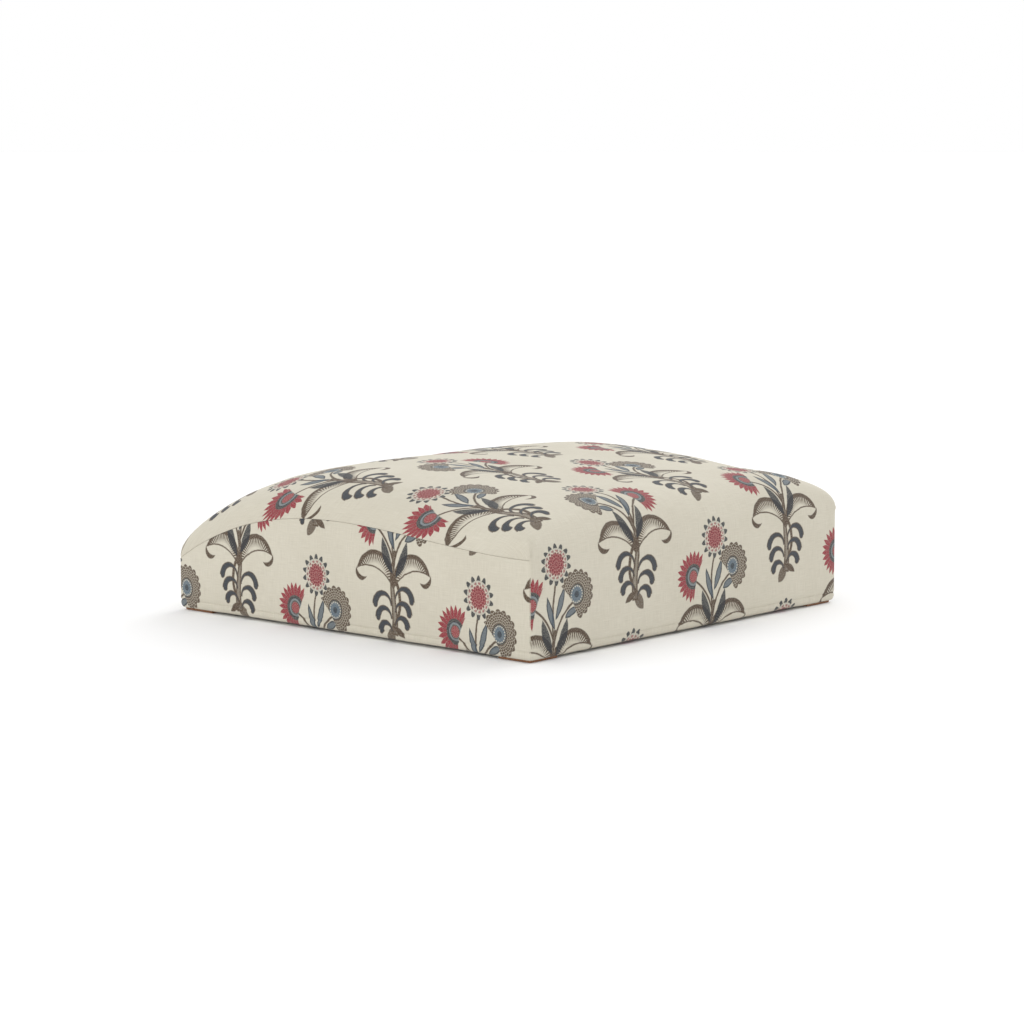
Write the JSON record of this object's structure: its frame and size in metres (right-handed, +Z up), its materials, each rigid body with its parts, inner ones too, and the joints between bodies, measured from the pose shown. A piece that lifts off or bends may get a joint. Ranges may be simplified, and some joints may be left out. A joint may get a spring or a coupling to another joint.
{
  "type": "chair seat pad",
  "caption": "Square upholstered dining-chair seat: crowned top with a rolled front edge, boxed sides, printed linen cover over a jointed hardwood frame.",
  "frame": {"origin": "middle of the footprint, at the underside of the four leg posts, which is the lowest face", "axes": "+Z up; -Y is the chair's front, where the cover rolls over; +X is to the left of a person sitting in the chair, which is the right-hand side seen from the front"},
  "size_m": [0.514, 0.508, 0.1661],
  "materials": {
    "cover_linen": "matte linen-cotton plain weave with a block-printed sprig",
    "dust_cambric": "matte black non-woven cambric",
    "wadding": "loose white polyester wadding",
    "foam": "open-cell polyurethane foam",
    "hessian": "open plain-weave hessian",
    "webbing": "herringbone jute webbing",
    "frame_wood": "planed hardwood, waxed below",
    "brace_wood": "sawn hardwood",
    "screw_steel": "zinc plated"
  },
  "bodies": {
    "root": {"cover_top_front": "cover_linen", "cover_side_left": "cover_linen", "cover_side_right": "cover_linen", "cover_back": "cover_linen", "dust_cover": "dust_cambric", "wadding": "wadding", "foam_crown": "foam", "foam_slab": "foam", "hessian": "hessian", "webbing_across_1": "webbing", "webbing_along_1": "webbing", "webbing_across_2": "webbing", "webbing_along_2": "webbing", "webbing_across_3": "webbing", "webbing_along_3": "webbing", "webbing_across_4": "webbing", "webbing_along_4": "webbing", "rail_front": "frame_wood", "rail_rear": "frame_wood", "rail_left": "frame_wood", "rail_right": "frame_wood", "leg_post_front_left": "frame_wood", "leg_post_front_right": "frame_wood", "leg_post_rear_left": "frame_wood", "leg_post_rear_right": "frame_wood", "corner_brace_front_left": "brace_wood", "corner_brace_front_right": "brace_wood", "corner_brace_rear_left": "brace_wood", "corner_brace_rear_right": "brace_wood", "screw_front_left_side": "screw_steel", "screw_front_left_end": "screw_steel", "screw_front_right_side": "screw_steel", "screw_front_right_end": "screw_steel", "screw_rear_left_side": "screw_steel", "screw_rear_left_end": "screw_steel", "screw_rear_right_side": "screw_steel", "screw_rear_right_end": "screw_steel"}
  },
  "joints": []
}
